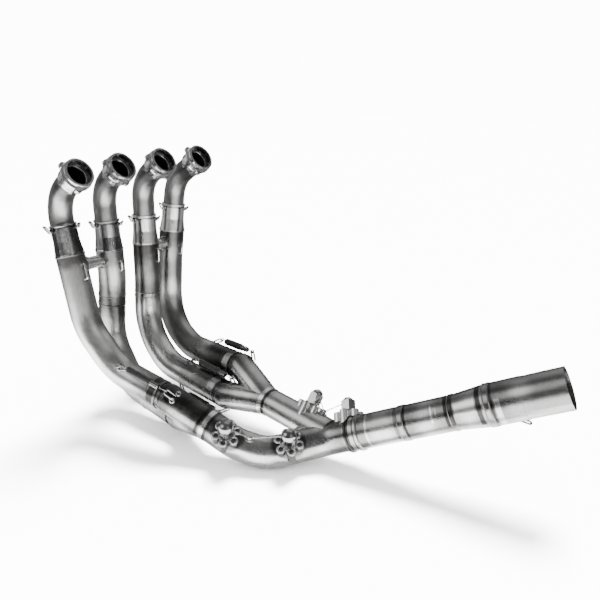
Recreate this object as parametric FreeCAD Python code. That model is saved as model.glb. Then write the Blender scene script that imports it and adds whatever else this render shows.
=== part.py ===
import FreeCAD
import Part
import math
import os

# Motorcycle exhaust header, four pipes into two into one.
# The origin is the rim centre of the first inlet collar. X points to the rear of the motorcycle,
# Y runs along the row of ports and Z is up. Sizes are in millimetres, angles in degrees.
# A station is a distance along a pipe's centre line. A clock angle goes round a pipe from its top,
# towards the side of pipe 1; on a steep pipe it starts at the front instead.

# tube sizes
stub_outer = 39.0
primary_outer = 47.0
secondary_outer = 50.0
link_outer = 52.0
tail_outer = 61.0
outlet_outer = 60.0
cross_outer = 32.0
balance_outer = 18.0
tube_wall = 1.2
slip_clearance = 0.3

# ports
collar_tilt = 57.0
port_pitch = 88.0
port_shift = {1: (0, 0), 2: (-5, 0), 3: (-3, 0), 4: (-1, -3)}

# inlet collars, depths measured from the rim down into the pipe
rim_radius = 24.5
rim_length = 3.6
rim_chamfer = 0.6
mouth_radius = 20.5
mouth_depth = 14.0
bore_radius = 17.6
groove_radius = 22.2
groove_start = 4.6
groove_end = 6.4
lip_radius = 25.8
lobe_count = 3
lobe_radius = 6.5
lobe_reach = 24.0
lobe_phase = {1: 40, 2: 57, 3: 57, 4: 30}
flange_depth = 9.0
flange_thickness = 5.0
waist_radius = 21.8
waist_taper = 2.5
waist_length = 3.0
neck_radius = 22.6
collar_length = 28.0
collar_socket = 11.0
neck_hole_radius = 1.3
neck_hole_count = 8
neck_hole_depth = 23.0
pad_count = 6
pad_length = 5.0
pad_width = 6.0
pad_thickness = 1.6

# routes of the pipes: distance from the rim to the first bend point, then the other bend points
bend_reach = {1: 83, 2: 69, 3: 73, 4: 85}
bend_points = {
    1: [(-20, 0, -258), (38, 6, -320), (150, 18, -347)],
    2: [(-56, 86, -200), (-66, 80, -312), (-2, 68, -382), (134, 55, -398)],
    3: [(-64, 172, -220), (-66, 165, -322), (5, 150, -370), (163, 136, -383)],
    4: [(-84, 250, -200), (-82, 236, -324), (4, 212, -356), (165, 174, -344)],
}
bend_radii = {
    1: [62, 100, 100],
    2: [62, 300, 80, 80],
    3: [62, 300, 95, 100],
    4: [62, 150, 90, 100],
}
junction_from = 60.0
cut_margin = 30.0
merge_12 = (218, 38, -382)
merge_34 = (243, 154, -380)
main_points = [merge_12, (262, 44, -399), (310, 62, -409), (372, 135, -396), (695, 228, -251)]
main_radii = [110, 75, 60]
branch_points = [merge_34, (372, 138, -389)]

# slip joints below the head bends, and the joints in the upper primaries
slip_station = {1: 116, 2: 121, 3: 129, 4: 127}
slip_overlap = 18.0
sleeve_length = 52.0
sleeve_straight = 28.0
lip_length = 3.0
lip_height = 1.2
bead_height = 0.9
bead_width = 3.0
seam_height = 0.3
upper_end = {2: 254, 3: 273}
lower_beads = {1: [], 2: [268, 481], 3: [280], 4: []}

# merge collectors: a spigot of each inlet slides into the end of its primary
mouth_before_end = 16.0
mouth_seam = 22.0
spigot_depth = 14.0
spigot_gap = 6.0
inlet_shoulder = 3.0
inlet_radius = 24.0
merge_band_length = 9.0
merge_depth_step = 2.4

# balance tubes between neighbouring primaries, with the stations on the two pipes
balance_stations = {(1, 2): (186, 190), (3, 4): (187, 204)}
balance_overlap = 8.0
balance_saddle_radius = 13.5
balance_saddle_length = 3.0
balance_saddle_gap = 1.5

# stations along the main run, from the end of the first merge collector
band_start = 231.0
band_end = band_start + 23.0
band_ridge = 6.0
band_chamfer = 1.0
band_stop = 3.0
band_stop_taper = 2.0
band_height = 1.6
link_ring_station = 320.0
link_ring_length = 8.0
cone_start = 397.0
cone_end = cone_start + 52.0
tail_band_length = 8.0
tail_band_height = 0.8
tail_hook_distance = 26.0
outlet_seat_length = 60.0
link_insertion = 14.0

# cross tube between the two secondaries
cross_from = (333, 88, -396)
cross_to = (338, 142, -393)

# sensor bosses: run, station, clock angle of the foot, clock angle of the axis, phase of the lobes
boss_disc_radius = 14.0
boss_lobe_count = 6
boss_lobe_radius = 6.8
boss_lobe_reach = 16.5
boss_hole_radius = 3.8
boss_hole_depth = 4.0
boss_height = 5.0
boss_skirt = 22.0
bosses = {
    "a": ("main", 35, 41, 31, 47),
    "b": ("main", 131, 41, 31, 30),
    "c": ("branch", 78, -35, -35, 30),
    "d": ("band", 233, -40, -45, 30),
}
plug_thread_radius = 9.0
plug_thread_length = 9.0
plug_clearance = 0.2
plug_flange_radius = 12.6
plug_flange_height = 3.0
plug_hex_width = 21.5
plug_hex_height = 16.5
plug_dome_radius = 9.5
plug_dome_sink = 2.0

# wire lugs between two plugs: run, station, clock angle
wire_lugs = {
    ("a", "b"): ("main", 71, 28),
    ("c", "d"): ("branch", 108, -25),
}
lug_washer_radius = 6.0
lug_washer_height = 1.2
lug_post_radius = 2.6
lug_post_height = 5.0
lug_head_radius = 3.4
safety_wire_radius = 0.5

# hooks of bent wire on the slip joints and beside the balance tubes: pipe, clock angle, two stations
hook_wire_radius = 1.5
hook_width = 8.0
hook_length = 13.0
hook_rise = 7.0
hook_bend = 3.0
hook_sink = 0.6
deep_hook_sink = 3.0
slip_hook_foot = 15.0
slip_hook_leg = 10.0
# clock angle, how far the tip leans over the lip and how far it stands off
slip_hooks = [(-85, 16, 10), (150, 12, 6)]
staple_rise = 6.0
staples = [(1, 176, 184, 209), (2, 180, 191, 207), (3, 172, 190, 214), (4, 178, 204, 221)]

# springs over the joints of the primaries: pipe, clock angle
spring_clocks = {
    "pipe_1": (1, 37),
    "pipe_2": (2, -80),
    "pipe_3_lower": (3, 139),
    "pipe_3_upper": (3, -9),
    "pipe_4": (4, -42),
}
spring_before_mouth = 78.0
spring_after_mouth = 18.0
spring_body_length = 66.0
spring_body_start = 14.0
spring_radius = 4.6
spring_core_radius = 3.9
spring_coils = 9
spring_coil_radius = 0.8
spring_loop_radius = 3.4
spring_loop_play = 0.3
spring_sleeve_start = 4.0
spring_sleeve_length = 46.0
spring_sleeve_radius = 6.0
spring_sleeve_clearance = 0.2


def vector(point):
    return FreeCAD.Vector(*point)


def unit(direction):
    length = direction.Length
    return FreeCAD.Vector(direction.x / length, direction.y / length, direction.z / length)


# a route is a list of straight runs and of arcs tangent to them

def straight_run(start, end):
    return {"start": start, "direction": unit(end - start), "length": (end - start).Length, "axis": None}


def arc_run(start, into, axis, radius, turn):
    centre = start + axis.cross(into) * radius
    return {"start": start, "direction": into, "length": radius * turn, "axis": axis,
            "centre": centre, "radius": radius}


def make_route(points, radii):
    corners = [vector(point) for point in points]
    runs = []
    start = corners[0]
    for before, corner, after, radius in zip(corners, corners[1:], corners[2:], radii):
        into = unit(corner - before)
        out = unit(after - corner)
        turn = into.getAngle(out)
        setback = radius * math.tan(turn / 2)
        bend_start = corner - into * setback
        runs.append(straight_run(start, bend_start))
        runs.append(arc_run(bend_start, into, unit(into.cross(out)), radius, turn))
        start = corner + out * setback
    runs.append(straight_run(start, corners[-1]))
    return runs


def route_length(route):
    return sum(run["length"] for run in route)


def along(run, distance):
    # point and direction at a distance from the start of one run
    if run["axis"] is None:
        return run["start"] + run["direction"] * distance, run["direction"]
    turn = FreeCAD.Rotation(run["axis"], math.degrees(distance / run["radius"]))
    arm = turn.multVec(run["start"] - run["centre"])
    return run["centre"] + arm, turn.multVec(run["direction"])


def at(route, station):
    passed = 0.0
    for run in route[:-1]:
        if station < passed + run["length"]:
            return along(run, station - passed)
        passed += run["length"]
    return along(route[-1], station - passed)


def clocked(direction, clock):
    # outward normal of a tube at a clock angle
    reference = FreeCAD.Vector(-1, 0, 0) if abs(direction.z) > 0.8 else FreeCAD.Vector(0, 0, 1)
    upward = unit(reference - direction * reference.dot(direction))
    side = direction.cross(upward)
    angle = math.radians(clock)
    return upward * math.cos(angle) + side * math.sin(angle)


# solids

def disc_face(centre, normal, outer, inner):
    rims = [Part.Wire(Part.makeCircle(outer, centre, normal))]
    if inner > 0:
        rims.append(Part.Wire(Part.makeCircle(inner, centre, normal)))
    return Part.makeFace(rims, "Part::FaceMakerBullseye")


def fused(shapes):
    result = shapes[0]
    for shape in shapes[1:]:
        result = result.fuse(shape)
    return result


def largest(shape):
    return max(shape.Solids, key=lambda solid: solid.Volume)


def swept(route, first, last, outer, inner=0.0):
    # a tube or rod along the route between two stations
    pieces = []
    passed = 0.0
    for index, run in enumerate(route):
        begin = first if index == 0 else max(first, passed)
        end = last if index == len(route) - 1 else min(last, passed + run["length"])
        if end - begin > 0.01:
            centre, normal = along(run, begin - passed)
            face = disc_face(centre, normal, outer, inner)
            if run["axis"] is None:
                pieces.append(face.extrude(normal * (end - begin)))
            else:
                sweep_angle = math.degrees((end - begin) / run["radius"])
                pieces.append(face.revolve(run["centre"], run["axis"], sweep_angle))
        passed += run["length"]
    return fused(pieces)


def tube(route, first, last, outer_diameter):
    radius = outer_diameter / 2
    return swept(route, first, last, radius, radius - tube_wall)


def stand(shape, origin, up, toward=None):
    # turns a shape drawn about Z so that its Z follows up and its X leans toward a direction
    up = unit(up)
    if toward is None:
        turn = FreeCAD.Rotation(FreeCAD.Vector(0, 0, 1), up)
    else:
        ahead = unit(toward - up * toward.dot(up))
        turn = FreeCAD.Rotation(ahead, up.cross(ahead), up, "ZXY")
    shape.Placement = FreeCAD.Placement(origin, turn)
    return shape


def turned(profile):
    # revolves a closed profile of (radius, height) pairs about Z
    corners = [FreeCAD.Vector(radius, 0, height) for radius, height in profile]
    face = Part.Face(Part.makePolygon(corners + corners[:1]))
    return face.revolve(FreeCAD.Vector(0, 0, 0), FreeCAD.Vector(0, 0, 1), 360)


def raised_ring(inner, outer, height, length, slope):
    # profile of a short tube with a ridge all along it
    return [(inner, 0), (outer, 0), (outer + height, slope), (outer + height, length - slope),
            (outer, length), (inner, length)]


def bead(route, station, tube_radius, height=bead_height):
    profile = raised_ring(tube_radius - tube_wall / 2, tube_radius, height, bead_width, bead_width / 3)
    centre, direction = at(route, station)
    return stand(turned(profile), centre, direction)


# routes of the pipes

collar_axis = FreeCAD.Vector(math.sin(math.radians(collar_tilt)), 0, math.cos(math.radians(collar_tilt)))


def port_centre(number):
    shift_x, shift_z = port_shift[number]
    return FreeCAD.Vector(shift_x, port_pitch * (number - 1), shift_z)


def primary_route(number):
    rim = port_centre(number)
    first_bend = rim - collar_axis * bend_reach[number]
    points = [tuple(rim), tuple(first_bend)] + bend_points[number]
    return make_route(points, bend_radii[number])


primary_routes = {number: primary_route(number) for number in (1, 2, 3, 4)}
main_route = make_route(main_points, main_radii)
branch_route = make_route(branch_points, [])
band_outer = secondary_outer / 2 + slip_clearance + tube_wall
ridge_outer = band_outer + band_height
run_routes = {"main": main_route, "branch": branch_route, "band": main_route}
run_radii = {"main": secondary_outer / 2, "branch": primary_outer / 2, "band": ridge_outer}
sleeve_bore = stub_outer / 2 + slip_clearance
primary_radius = primary_outer / 2


def mouth_station(number):
    return route_length(primary_routes[number]) - mouth_before_end


# inlet collars

def collar_blank():
    flange_end = flange_depth + flange_thickness
    waist_start = flange_end + waist_taper
    neck_start = waist_start + waist_length
    socket_top = collar_length - collar_socket
    return turned([
        (mouth_radius, 0), (rim_radius - rim_chamfer, 0), (rim_radius, -rim_chamfer),
        (rim_radius, -rim_length), (groove_radius, -groove_start), (groove_radius, -groove_end),
        (lip_radius, -flange_depth), (lip_radius, -flange_end), (waist_radius, -waist_start),
        (neck_radius, -neck_start), (neck_radius, -collar_length), (sleeve_bore, -collar_length),
        (sleeve_bore, -socket_top), (bore_radius, -socket_top), (bore_radius, -mouth_depth),
        (mouth_radius, -mouth_depth),
    ])


def round_about_z(shape, count, phase=0.0):
    copies = []
    for index in range(count):
        copy = shape.copy()
        copy.rotate(FreeCAD.Vector(0, 0, 0), FreeCAD.Vector(0, 0, 1), phase + index * 360 / count)
        copies.append(copy)
    return copies


def collar_lobes(phase):
    bottom = -flange_depth - flange_thickness
    lobe = Part.makeCylinder(lobe_radius, flange_thickness, FreeCAD.Vector(lobe_reach, 0, bottom))
    hollow = Part.makeCylinder(mouth_radius + tube_wall, flange_thickness, FreeCAD.Vector(0, 0, bottom))
    return [copy.cut(hollow) for copy in round_about_z(lobe, lobe_count, phase)]


def collar_neck_holes():
    # blind dimples that stop short of the socket
    start = FreeCAD.Vector((sleeve_bore + neck_radius) / 2, 0, -neck_hole_depth)
    hole = Part.makeCylinder(neck_hole_radius, neck_radius, start, FreeCAD.Vector(1, 0, 0))
    return Part.makeCompound(round_about_z(hole, neck_hole_count))


def collar_pads():
    pad = Part.makeBox(pad_thickness, pad_width, pad_length + 1)
    pad.translate(FreeCAD.Vector(sleeve_bore + slip_clearance, -pad_width / 2, -collar_length - pad_length))
    return round_about_z(pad, pad_count, 180 / pad_count)


def inlet_collar(number):
    body = fused([collar_blank()] + collar_lobes(lobe_phase[number]) + collar_pads())
    body = body.cut(collar_neck_holes())
    return stand(body, port_centre(number), collar_axis, FreeCAD.Vector(0, 0, 1))


# head bends, slip sleeves and primaries

def head_bend(number):
    start = collar_length - collar_socket + slip_clearance
    end = slip_station[number] + slip_overlap
    return tube(primary_routes[number], start, end, stub_outer)


def slip_sleeve(number):
    top_radius = sleeve_bore + tube_wall
    end_radius = primary_radius
    bead_start = sleeve_length - bead_width
    profile = [
        (sleeve_bore, 0), (top_radius + lip_height, 0), (top_radius + lip_height, lip_length),
        (top_radius, lip_length + lip_height), (top_radius, sleeve_straight), (end_radius, bead_start),
        (end_radius + bead_height, bead_start + bead_width / 3),
        (end_radius + bead_height, sleeve_length - bead_width / 3), (end_radius, sleeve_length),
        (end_radius - tube_wall, sleeve_length), (end_radius - tube_wall, bead_start),
        (sleeve_bore, sleeve_straight),
    ]
    centre, direction = at(primary_routes[number], slip_station[number])
    return stand(turned(profile), centre, direction)


def sleeve_end(number):
    return slip_station[number] + sleeve_length


def primary_upper(number):
    return tube(primary_routes[number], sleeve_end(number), upper_end[number], primary_outer)


def primary_lower(number):
    route = primary_routes[number]
    start = upper_end.get(number, sleeve_end(number))
    mouth = mouth_station(number)
    shapes = [tube(route, start, mouth, primary_outer)]
    for station in lower_beads[number]:
        shapes.append(bead(route, station, primary_radius))
    shapes.append(bead(route, mouth - mouth_seam, primary_radius, seam_height))
    shapes.append(bead(route, mouth - bead_width, primary_radius, seam_height))
    return fused(shapes)


# merge collectors: two spigots, two straight branches and one outlet band

def circle_wire(radius, centre, normal):
    return Part.Wire(Part.makeCircle(radius, centre, normal))


def merge_branch(route, outlet_route, depth, start_radius, end_radius):
    start, start_normal = at(route, route_length(route))
    end, end_normal = at(outlet_route, -depth)
    return Part.makeLoft([circle_wire(start_radius, start, start_normal),
                          circle_wire(end_radius, end, end_normal)], True, True)


def collector_inlet(route):
    # spigot, shoulder and the straight start of the branch, as one turned solid
    spigot_radius = primary_radius - tube_wall - slip_clearance
    shoulder_start = spigot_depth + spigot_gap
    length = spigot_depth + mouth_before_end
    centre, direction = at(route, route_length(route) - length)
    profile = [(0, 0), (spigot_radius - rim_chamfer, 0), (spigot_radius, rim_chamfer),
               (spigot_radius, shoulder_start), (inlet_radius, shoulder_start + inlet_shoulder),
               (inlet_radius, length), (0, length)]
    return stand(turned(profile), centre, direction)


def branch_depth(numbers, number):
    # the branches end at different depths inside the outlet band
    return merge_depth_step * (numbers.index(number) + 1)


def merge_collector(numbers, run_name):
    outlet_route = run_routes[run_name]
    outlet_radius = run_radii[run_name]
    outlet_bore = outlet_radius - tube_wall
    inlet_bore = primary_radius - 2 * tube_wall - slip_clearance
    outers = [swept(outlet_route, -merge_band_length, 0, outlet_radius + bead_height)]
    bores = [swept(outlet_route, -merge_band_length, 1, outlet_bore)]
    for number in numbers:
        route = primary_routes[number]
        end = route_length(route)
        depth = branch_depth(numbers, number)
        outers.append(collector_inlet(route))
        outers.append(merge_branch(route, outlet_route, depth, inlet_radius - 0.1, outlet_radius))
        bores.append(swept(route, end - mouth_before_end - spigot_depth - 1, end, inlet_bore))
        bores.append(merge_branch(route, outlet_route, depth, inlet_bore + 0.2, outlet_bore - 0.3))
    shape = fused(outers)
    for bore in bores:
        shape = shape.cut(bore)
    return largest(shape)


# secondaries, the cross tube between them and the run to the tail

def cross_rod(radius):
    start = vector(cross_from)
    span = vector(cross_to) - start
    return Part.makeCylinder(radius, span.Length, start, span)


def plug_hole(name):
    seat, normal = boss_seat(name)
    depth = boss_height + boss_skirt
    return Part.makeCylinder(plug_thread_radius + plug_clearance, depth, seat - normal * depth, normal)


def main_rod(radius):
    return swept(main_route, junction_from, band_start, radius)


def branch_rod(radius, first=0.0):
    return swept(branch_route, first, route_length(branch_route), radius)


def plug_holes(shape, names):
    for name in names:
        shape = shape.cut(plug_hole(name))
    return shape


def secondary_main():
    shape = tube(main_route, 0, band_start + link_insertion, secondary_outer)
    shape = shape.cut(branch_rod(primary_radius - tube_wall, junction_from))
    shape = shape.cut(cross_rod(cross_outer / 2 - tube_wall))
    return largest(plug_holes(shape, ("a", "b", "d")))


def secondary_branch():
    shape = branch_rod(primary_radius).cut(branch_rod(primary_radius - tube_wall))
    shape = shape.cut(main_rod(secondary_outer / 2))
    shape = shape.cut(cross_rod(cross_outer / 2 - tube_wall))
    return largest(plug_holes(shape, ("c",)))


def cross_tube():
    shape = cross_rod(cross_outer / 2).cut(cross_rod(cross_outer / 2 - tube_wall))
    shape = shape.cut(main_rod(secondary_outer / 2))
    shape = shape.cut(branch_rod(primary_radius))
    return largest(shape)


def turned_on_main(station, profile):
    centre, direction = at(main_route, station)
    return stand(turned(profile), centre, direction)


def outlet_band():
    # a sleeve over the joint of the secondary and the link pipe, with a ridge at each end
    inner = band_outer - tube_wall
    ridge = ridge_outer
    length = band_end - band_start
    second = length - band_ridge
    link_bore = link_outer / 2 - tube_wall
    band = turned_on_main(band_start, [
        (inner, 0), (band_outer, 0), (ridge, band_chamfer), (ridge, band_ridge - band_chamfer),
        (band_outer, band_ridge), (band_outer, second), (ridge, second + band_chamfer),
        (ridge, length - band_chamfer), (band_outer, length), (link_bore, length),
        (link_bore, length - band_stop), (inner, length - band_stop - band_stop_taper),
    ])
    return largest(plug_holes(band, ("d",)))


def link_pipe_front():
    return tube(main_route, band_end, link_ring_station, link_outer)


def link_ring():
    outer = link_outer / 2
    return turned_on_main(link_ring_station, raised_ring(outer - tube_wall, outer, bead_height,
                                                         link_ring_length, 1))


def link_pipe_rear():
    return tube(main_route, link_ring_station + link_ring_length, cone_start, link_outer)


def tail_cone():
    small = link_outer / 2
    large = tail_outer / 2
    bore = outlet_outer / 2 - tube_wall
    length = cone_end - cone_start
    ridge_length = 2 * bead_width
    return turned_on_main(cone_start, [
        (small - tube_wall, 0), (small, 0), (small + bead_height, 1), (small + bead_height, ridge_length - 1),
        (small, ridge_length), (large, length), (bore, length),
        (small - tube_wall, ridge_length),
    ])


def tail_band():
    bore = outlet_outer / 2 - tube_wall
    return turned_on_main(cone_end, raised_ring(bore, tail_outer / 2, tail_band_height,
                                                tail_band_length, 1.2))


def tail_tube():
    # its end is turned down to a seat for the sleeve of the silencer
    start = cone_end + tail_band_length
    length = route_length(main_route) - start
    seat = outlet_outer / 2
    bore = seat - tube_wall
    shoulder = length - outlet_seat_length
    return turned_on_main(start, [(bore, 0), (tail_outer / 2, 0), (tail_outer / 2, shoulder), (seat, shoulder),
                                  (seat, length), (bore, length)])


# balance tubes: a socket welded to one pipe and a spigot welded to its neighbour

def balance_line(pair):
    start, end = [at(primary_routes[number], station)[0]
                  for number, station in zip(pair, balance_stations[pair])]
    return start, end - start


def balance_rod(pair, first, last, radius):
    start, span = balance_line(pair)
    direction = unit(span)
    return Part.makeCylinder(radius, last - first, start + direction * first, direction)


def clear_of_primaries(shape, pair):
    for number, station in zip(pair, balance_stations[pair]):
        end = sleeve_end(number)
        shape = shape.cut(swept(primary_routes[number], station - cut_margin, station + cut_margin,
                                primary_radius))
        shape = shape.cut(swept(primary_routes[number], end - cut_margin, end, primary_radius + bead_height))
    return largest(shape)


def balance_socket(pair):
    length = balance_line(pair)[1].Length
    bore = balance_outer / 2 + slip_clearance
    end = length - primary_radius - balance_overlap
    saddle_start = primary_radius - 2
    saddle_end = primary_radius + balance_saddle_gap + balance_saddle_length
    shape = balance_rod(pair, 0, end, bore + tube_wall)
    shape = shape.fuse(balance_rod(pair, saddle_start, saddle_end, balance_saddle_radius))
    shape = shape.cut(balance_rod(pair, -1, end + 1, bore))
    return clear_of_primaries(shape, pair)


def balance_spigot(pair):
    length = balance_line(pair)[1].Length
    start = length - primary_radius - 2 * balance_overlap
    outer = balance_outer / 2
    shape = balance_rod(pair, start, length, outer).cut(balance_rod(pair, start - 1, length + 1, outer - tube_wall))
    return clear_of_primaries(shape, pair)


# sensor bosses, plugs, lugs and their safety wires

def boss_seat(name):
    # top face centre of the boss and its axis
    run_name, station, foot_clock, axis_clock, phase = bosses[name]
    centre, direction = at(run_routes[run_name], station)
    foot = centre + clocked(direction, foot_clock) * run_radii[run_name]
    normal = clocked(direction, axis_clock)
    return foot + normal * boss_height, normal


def boss_direction(name):
    run_name, station = bosses[name][:2]
    return at(run_routes[run_name], station)[1]


def sensor_boss(name):
    seat, normal = boss_seat(name)
    bottom = FreeCAD.Vector(0, 0, -boss_skirt)
    disc = Part.makeCylinder(boss_disc_radius, boss_skirt, bottom)
    lobe = Part.makeCylinder(boss_lobe_radius, boss_skirt, bottom + FreeCAD.Vector(boss_lobe_reach, 0, 0))
    hole = Part.makeCylinder(boss_hole_radius, boss_hole_depth,
                             FreeCAD.Vector(boss_lobe_reach, 0, -boss_hole_depth))
    bore = Part.makeCylinder(plug_thread_radius + plug_clearance, boss_skirt, bottom)
    phase = bosses[name][4]
    shape = fused([disc] + round_about_z(lobe, boss_lobe_count, phase))
    shape = shape.cut(Part.makeCompound(round_about_z(hole, boss_lobe_count, phase) + [bore]))
    shape = stand(shape, seat, normal, boss_direction(name))
    for rod in boss_carriers():
        shape = shape.cut(rod)
    return upper_part(shape, seat)


def boss_carriers():
    return [swept(main_route, 0, band_start, secondary_outer / 2),
            swept(main_route, band_start, band_end, ridge_outer),
            swept(main_route, band_end, link_ring_station, link_outer / 2),
            branch_rod(primary_radius),
            cross_rod(cross_outer / 2)]


def upper_part(shape, point):
    # the piece of a cut solid that lies nearest to a point
    return min(shape.Solids, key=lambda solid: (solid.CenterOfMass - point).Length)


def sensor_plug(name):
    seat, normal = boss_seat(name)
    hex_top = plug_flange_height + plug_hex_height
    across_corners = plug_hex_width / math.cos(math.radians(30)) / 2
    corner = FreeCAD.Vector(across_corners, 0, plug_flange_height)
    corners = [FreeCAD.Rotation(FreeCAD.Vector(0, 0, 1), 60 * index).multVec(corner) for index in range(6)]
    head = Part.Face(Part.makePolygon(corners + corners[:1])).extrude(FreeCAD.Vector(0, 0, plug_hex_height))
    dome = Part.makeSphere(plug_dome_radius, FreeCAD.Vector(0, 0, hex_top - plug_dome_sink))
    flange = Part.makeCylinder(plug_flange_radius, plug_flange_height)
    thread = Part.makeCylinder(plug_thread_radius, plug_thread_length, FreeCAD.Vector(0, 0, -plug_thread_length))
    plug = fused([thread, flange, head, dome])
    return stand(plug, seat, normal, boss_direction(name))


def lug_foot(pair):
    run_name, station, clock = wire_lugs[pair]
    centre, direction = at(run_routes[run_name], station)
    normal = clocked(direction, clock)
    return centre + normal * run_radii[run_name], normal


def wire_lug(pair):
    run_name, station, clock = wire_lugs[pair]
    foot, normal = lug_foot(pair)
    sink = normal * lug_washer_radius
    washer = Part.makeCylinder(lug_washer_radius, lug_washer_radius + lug_washer_height, foot - sink, normal)
    post = Part.makeCylinder(lug_post_radius, lug_post_height, foot, normal)
    head = Part.makeSphere(lug_head_radius, foot + normal * lug_post_height)
    shape = fused([washer, post, head])
    carrier = swept(run_routes[run_name], station - cut_margin, station + cut_margin, run_radii[run_name])
    return upper_part(shape.cut(carrier), foot + normal * lug_post_height)


def safety_wire(pair):
    # one straight wire from each plug to the head of the lug
    foot, normal = lug_foot(pair)
    anchor = foot + normal * lug_post_height
    lug = wire_lug(pair)
    wires = []
    for name in pair:
        seat, axis = boss_seat(name)
        top = seat + axis * (plug_flange_height + plug_hex_height)
        wire = Part.makeCylinder(safety_wire_radius, (anchor - top).Length, top, anchor - top)
        wires.append(largest(wire.cut(sensor_plug(name)).cut(lug)))
    return Part.makeCompound(wires)


# hooks of bent wire

def bent_wire(points, radii):
    route = make_route([tuple(point) for point in points], radii)
    return swept(route, 0, route_length(route), hook_wire_radius)


def eye_hook(foot, normal, pull, carrier, sink):
    # a U of wire with both feet on the carrier and its closed end raised towards the spring
    side = unit(normal.cross(pull)) * (hook_width / 2)
    seat = foot - normal * sink
    tip = foot + pull * hook_length + normal * (hook_rise + hook_wire_radius)
    wire = bent_wire([seat + side, tip + side, tip - side, seat - side], [hook_bend, hook_bend])
    return largest(wire.cut(carrier))


def slip_hook(number, clock, reach, rise):
    # a V of wire: a leg along the sleeve, then the U that leans away from it
    route = primary_routes[number]
    radius = sleeve_bore + tube_wall
    foot, direction = at(route, slip_station[number] + slip_hook_foot)
    normal = clocked(direction, clock)
    side = normal.cross(direction) * (hook_width / 2)
    low = foot + normal * (radius + hook_wire_radius - hook_sink / 2)
    leg = low - direction * slip_hook_leg
    tip = low - direction * reach + normal * rise
    points = [leg + side, low + side, tip + side, tip - side, low - side, leg - side]
    wire = bent_wire(points, [hook_wire_radius * 1.2, hook_bend, hook_bend, hook_wire_radius * 1.2])
    sleeve = swept(route, slip_station[number], sleeve_end(number), radius)
    return largest(wire.cut(sleeve))


def slip_joint_hooks():
    return Part.makeCompound([slip_hook(number, *place) for number in primary_routes for place in slip_hooks])


def staple(number, clock, first, last):
    route = primary_routes[number]
    points = []
    for station, rise in ((first, -hook_sink), (first, staple_rise), (last, staple_rise), (last, -hook_sink)):
        centre, direction = at(route, station)
        points.append(centre + clocked(direction, clock) * (primary_radius + rise))
    wire = bent_wire(points, [hook_bend, hook_bend])
    return largest(wire.cut(swept(route, first - cut_margin, last + cut_margin, primary_radius)))


def balance_hooks():
    return Part.makeCompound([staple(*place) for place in staples])


def tail_hook():
    station = cone_end + tail_band_length + tail_hook_distance
    centre, direction = at(main_route, station)
    normal = clocked(direction, 180)
    carrier = tail_rod()
    return eye_hook(centre + normal * (tail_outer / 2), normal, direction, carrier, hook_sink)


def tail_rod():
    return swept(main_route, cone_end, route_length(main_route), tail_outer / 2)


# springs over the joints of the primaries

def spring_line(name):
    # the line through the closed ends of the two hooks, its direction and its outward normal
    number, clock = spring_clocks[name]
    centre, direction = at(primary_routes[number], mouth_station(number))
    normal = clocked(direction, clock)
    rise = primary_radius + hook_rise + hook_wire_radius
    return centre + normal * rise, direction, normal


def spring_loop(centre, normal, direction):
    side = direction.cross(normal)
    return Part.makeTorus(spring_loop_radius, spring_coil_radius, centre, side)


def joint_spring(name):
    # closed coils, ribbed where they show beside the sleeve, with a wire leg and a loop at each end
    middle, direction, normal = spring_line(name)
    loop_shift = spring_loop_radius - spring_coil_radius - hook_wire_radius - spring_loop_play
    first = middle - direction * (spring_before_mouth - loop_shift)
    last = middle + direction * (spring_after_mouth - loop_shift)
    body_start = middle - direction * (spring_before_mouth - spring_body_start)
    rib_pitch = (spring_body_length - spring_sleeve_start - spring_sleeve_length) / spring_coils
    height = spring_sleeve_start + spring_sleeve_length
    profile = [(0, 0), (spring_core_radius, 0), (spring_core_radius, height)]
    for index in range(spring_coils):
        profile.append((spring_radius, height + rib_pitch * 0.3))
        profile.append((spring_radius, height + rib_pitch * 0.7))
        height += rib_pitch
        profile.append((spring_core_radius, height))
    profile.append((0, height))
    coils = stand(turned(profile), body_start, direction)
    front_leg = Part.makeCylinder(spring_coil_radius, spring_body_start - loop_shift - spring_loop_radius + 1,
                                  first + direction * spring_loop_radius, direction)
    body_end = body_start + direction * height
    rear_leg = Part.makeCylinder(spring_coil_radius, (last - body_end).Length - spring_loop_radius + 1,
                                 body_end - direction, direction)
    return fused([coils, front_leg, rear_leg, spring_loop(first, normal, direction),
                  spring_loop(last, normal, direction)])


def joint_springs():
    return Part.makeCompound([joint_spring(name) for name in spring_clocks])


def spring_sleeves():
    sleeves = []
    inner = spring_core_radius + spring_sleeve_clearance
    outer = spring_sleeve_radius
    length = spring_sleeve_length
    for name in spring_clocks:
        middle, direction, normal = spring_line(name)
        start = middle - direction * (spring_before_mouth - spring_body_start - spring_sleeve_start)
        profile = [(inner, 0), (outer, 0), (outer, length), (inner, length)]
        sleeves.append(stand(turned(profile), start, direction))
    return Part.makeCompound(sleeves)


def primary_spring_hooks():
    hooks = []
    for name, (number, clock) in spring_clocks.items():
        middle, direction, normal = spring_line(name)
        tip = middle - direction * spring_before_mouth
        foot = tip - direction * hook_length - normal * (hook_rise + hook_wire_radius)
        mouth = mouth_station(number)
        carrier = swept(primary_routes[number], mouth - spring_before_mouth - 2 * hook_length, mouth,
                        primary_radius)
        hooks.append(eye_hook(foot, normal, direction, carrier, hook_sink))
    return Part.makeCompound(hooks)


def collector_of(number):
    numbers = (1, 2) if number in (1, 2) else (3, 4)
    run_name = "main" if numbers == (1, 2) else "branch"
    return numbers, run_name


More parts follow.
